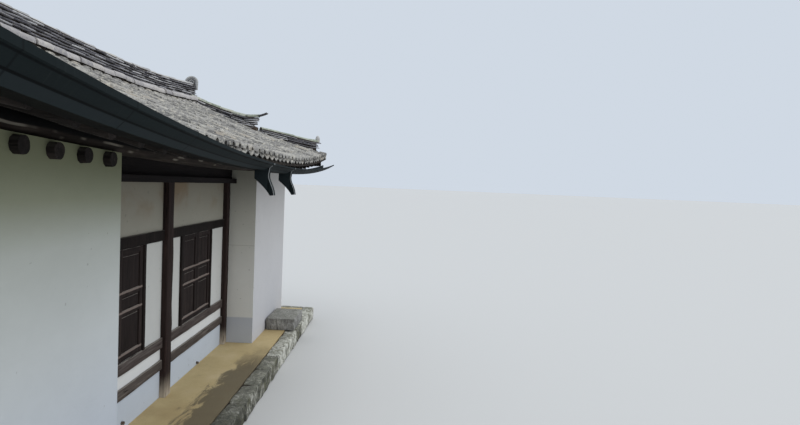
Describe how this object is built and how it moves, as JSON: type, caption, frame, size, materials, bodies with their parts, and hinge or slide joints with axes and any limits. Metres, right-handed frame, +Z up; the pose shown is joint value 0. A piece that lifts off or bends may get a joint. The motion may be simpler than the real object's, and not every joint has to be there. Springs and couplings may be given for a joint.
{
  "type": "hanok house with a hip-and-gable tiled roof",
  "caption": "Small hanok house: dark timber frame with pale plaster, panelled shutters, curved grey tile roof, sheet gutters and a stone-edged platform.",
  "frame": {"origin": "ground level under the middle of the ridge, at the centre of the platform's base", "axes": "+X along the house to the right as seen from the courtyard, -Y towards the courtyard, +Z up"},
  "size_m": [11.7596, 5.8, 5.14],
  "materials": {
    "earth": "rough tan cement and earth, dark where damp",
    "stone": "rough weathered grey-green stone",
    "floor": "smooth earth and lime screed",
    "timber": "dark brown weathered wood with a worn old stain",
    "weathered_timber": "grey-brown bare weathered wood",
    "eave_timber": "very dark aged wood",
    "shutter_wood": "dark brown stained wood, worn at the edges",
    "plaster": "matt lime plaster with faint stains",
    "roof_tile": "unglazed fired grey tile, weathered",
    "ridge_tile": "unglazed fired grey tile with lime mortar joints",
    "gutter_sheet": "dark painted sheet metal, weathered"
  },
  "bodies": {
    "root": {"stylobate": "earth", "stone_kerb": "stone", "raised_stone": "stone", "floor": "floor", "middle_post": "timber", "right_post": "timber", "front_beam": "timber", "left_bay_wall": "plaster", "right_bay_wall": "plaster", "left_bay_lower_rail": "weathered_timber", "right_bay_lower_rail": "weathered_timber", "left_window_frame": "timber", "right_window_frame": "timber", "left_window_left_leaf": "shutter_wood", "left_window_right_leaf": "shutter_wood", "right_window_left_leaf": "shutter_wood", "right_window_right_leaf": "shutter_wood", "left_wing_front_wall": "plaster", "left_wing_side_wall": "plaster", "left_end_wall": "plaster", "right_wing_front_wall": "plaster", "right_wing_side_wall": "plaster", "right_end_wall": "plaster", "rear_wall": "plaster", "rear_timber_frame": "timber", "rear_left_window": "shutter_wood", "rear_right_window": "shutter_wood", "front_purlin": "weathered_timber", "wing_joists": "weathered_timber", "front_rafters": "eave_timber", "rear_rafters": "eave_timber", "left_hip_rafters": "eave_timber", "right_hip_rafters": "eave_timber", "front_roof_slope": "roof_tile", "rear_roof_slope": "roof_tile", "left_hip_slope": "roof_tile", "right_hip_slope": "roof_tile", "left_gable": "plaster", "right_gable": "plaster", "left_bargeboard": "timber", "right_bargeboard": "timber", "main_ridge": "ridge_tile", "left_ridge_ornament": "ridge_tile", "right_ridge_ornament": "ridge_tile", "front_left_descending_ridge": "ridge_tile", "front_right_descending_ridge": "ridge_tile", "rear_left_descending_ridge": "ridge_tile", "rear_right_descending_ridge": "ridge_tile", "front_left_corner_ridge": "ridge_tile", "front_right_corner_ridge": "ridge_tile", "rear_left_corner_ridge": "ridge_tile", "rear_right_corner_ridge": "ridge_tile", "front_gutter_left": "gutter_sheet", "front_gutter_middle": "gutter_sheet", "front_gutter_right": "gutter_sheet", "rear_gutter_left": "gutter_sheet", "rear_gutter_middle": "gutter_sheet", "rear_gutter_right": "gutter_sheet"}
  },
  "joints": []
}
